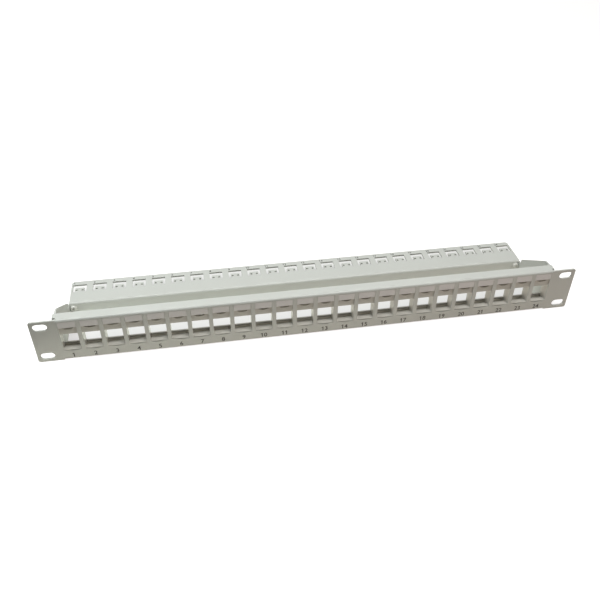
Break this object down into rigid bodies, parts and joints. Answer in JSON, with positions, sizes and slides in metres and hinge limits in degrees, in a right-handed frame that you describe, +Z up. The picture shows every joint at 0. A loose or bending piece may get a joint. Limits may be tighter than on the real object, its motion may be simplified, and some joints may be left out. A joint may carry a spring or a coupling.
{
  "type": "patch panel",
  "caption": "Unloaded 19 inch keystone patch panel, one rack unit, folded sheet steel with moulded port frames, label plates, side arms and a rear cable tray with tie tongues.",
  "frame": {"origin": "centre of the four rack slots, on the rear face of the ears", "axes": "+X to the right seen from the front, +Y back into the rack, +Z up"},
  "size_m": [0.4826, 0.0929, 0.044],
  "materials": {
    "powder_coat": "light grey semi-gloss powder coat",
    "frame_plastic": "fine moulded texture, light grey",
    "label_plastic": "satin, light grey",
    "zinc_steel": "dulled zinc plate"
  },
  "bodies": {
    "root": {"front_panel": "powder_coat", "left_arm": "powder_coat", "right_arm": "powder_coat", "cable_tray": "powder_coat", "port_frame_1": "frame_plastic", "port_frame_2": "frame_plastic", "port_frame_3": "frame_plastic", "port_frame_4": "frame_plastic", "label_plate_01": "label_plastic", "label_plate_02": "label_plastic", "label_plate_03": "label_plastic", "label_plate_04": "label_plastic", "label_plate_05": "label_plastic", "label_plate_06": "label_plastic", "label_plate_07": "label_plastic", "label_plate_08": "label_plastic", "label_plate_09": "label_plastic", "label_plate_10": "label_plastic", "label_plate_11": "label_plastic", "label_plate_12": "label_plastic", "label_plate_13": "label_plastic", "label_plate_14": "label_plastic", "label_plate_15": "label_plastic", "label_plate_16": "label_plastic", "label_plate_17": "label_plastic", "label_plate_18": "label_plastic", "label_plate_19": "label_plastic", "label_plate_20": "label_plastic", "label_plate_21": "label_plastic", "label_plate_22": "label_plastic", "label_plate_23": "label_plastic", "label_plate_24": "label_plastic", "tray_screws": "zinc_steel", "tray_nuts": "zinc_steel"}
  },
  "joints": []
}
